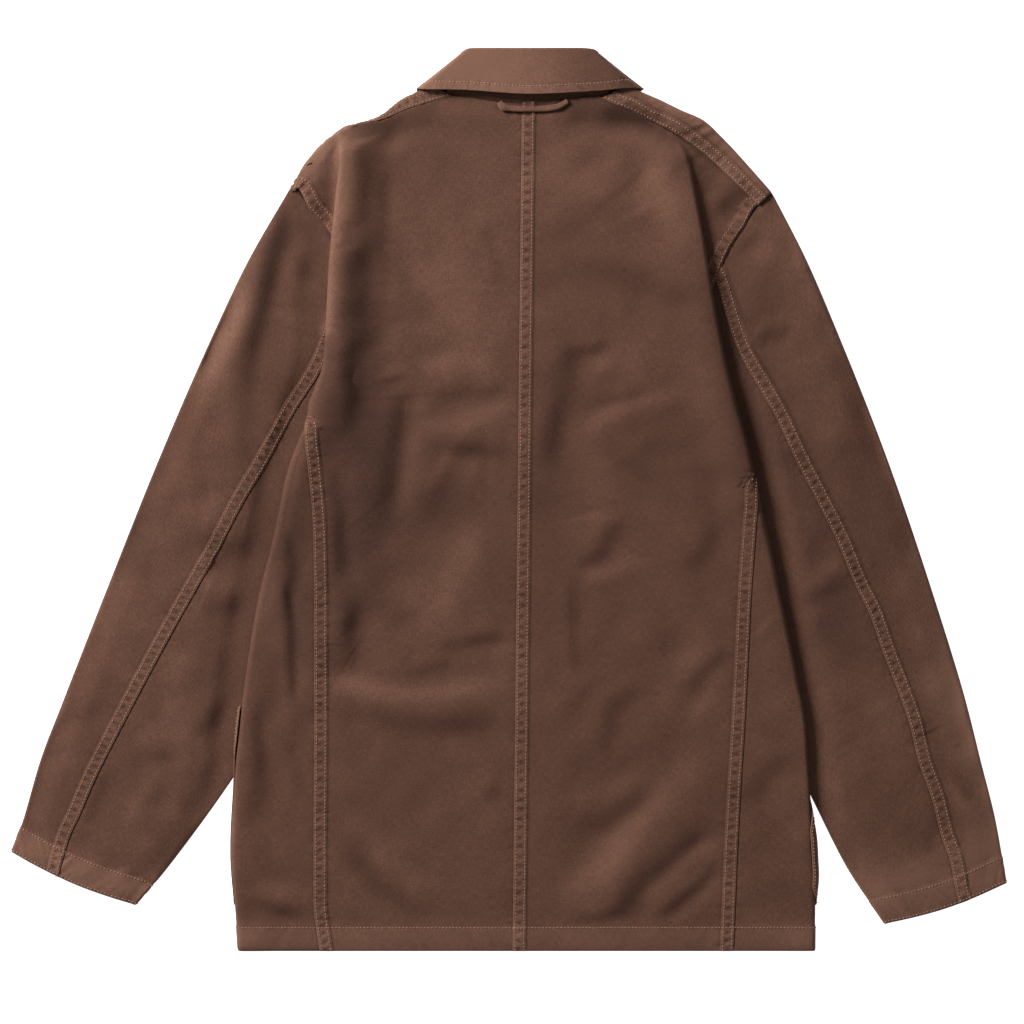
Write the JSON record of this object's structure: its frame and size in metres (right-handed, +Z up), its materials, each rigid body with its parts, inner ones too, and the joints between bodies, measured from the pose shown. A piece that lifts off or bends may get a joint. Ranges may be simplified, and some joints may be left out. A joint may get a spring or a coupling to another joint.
{
  "type": "unlined cotton-twill blazer jacket laid flat",
  "caption": "Unlined cotton-twill blazer jacket lying flat and face down, seen from the back, with felled seams, folded collar and hanger loop.",
  "frame": {"origin": "centre of the jacket's outline on the surface that it lies on", "axes": "+X across the jacket towards the viewer's right, +Y from hem to collar, +Z up out of the surface, on the back's side"},
  "size_m": [0.8659, 0.7854, 0.0111],
  "materials": {
    "twill": "washed matt brown cotton twill with tone-on-tone topstitching",
    "button": "dark brown, satin"
  },
  "bodies": {
    "root": {"back_left": "twill", "back_right": "twill", "front_left": "twill", "front_right": "twill", "sleeve_left_top": "twill", "sleeve_left_under": "twill", "sleeve_right_top": "twill", "sleeve_right_under": "twill", "collar": "twill", "hanger_loop": "twill", "pocket_left": "twill", "pocket_right": "twill", "button_1": "button", "button_2": "button", "button_3": "button", "button_4": "button"}
  },
  "joints": []
}
